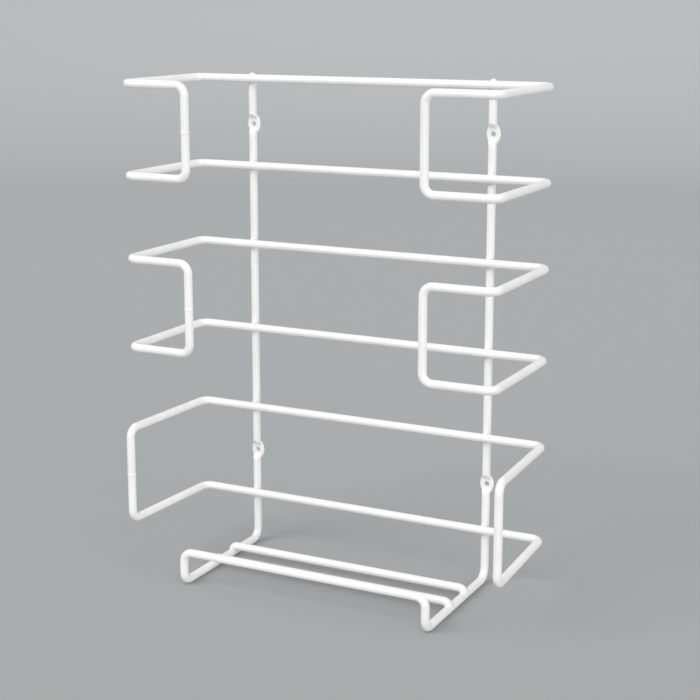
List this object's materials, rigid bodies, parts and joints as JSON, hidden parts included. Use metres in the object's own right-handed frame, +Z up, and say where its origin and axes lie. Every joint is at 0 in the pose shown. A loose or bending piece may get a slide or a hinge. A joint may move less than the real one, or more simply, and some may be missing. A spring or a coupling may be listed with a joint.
{
  "type": "glove box wall rack",
  "caption": "Tall open rack of bent and welded white coated wire: retaining loops hold stacked glove boxes above a shallow base with a front lip, screwed up through flattened eyelets.",
  "frame": {"origin": "bottom centre of the whole rack's bounding box, on the surface that the base arms stand on", "axes": "+Z up along the uprights, +Y from the open front towards the wall, +X to the right as seen from the front"},
  "size_m": [0.2736, 0.1044, 0.3393],
  "materials": {
    "white_coated_wire": "semi-gloss white powder coat with a faint orange peel"
  },
  "bodies": {
    "root": {"main_frame_wire": "white_coated_wire", "top_retaining_loop": "white_coated_wire", "middle_retaining_loop": "white_coated_wire", "bottom_retaining_loop": "white_coated_wire", "rear_crossbar": "white_coated_wire", "front_crossbar": "white_coated_wire"}
  },
  "joints": []
}
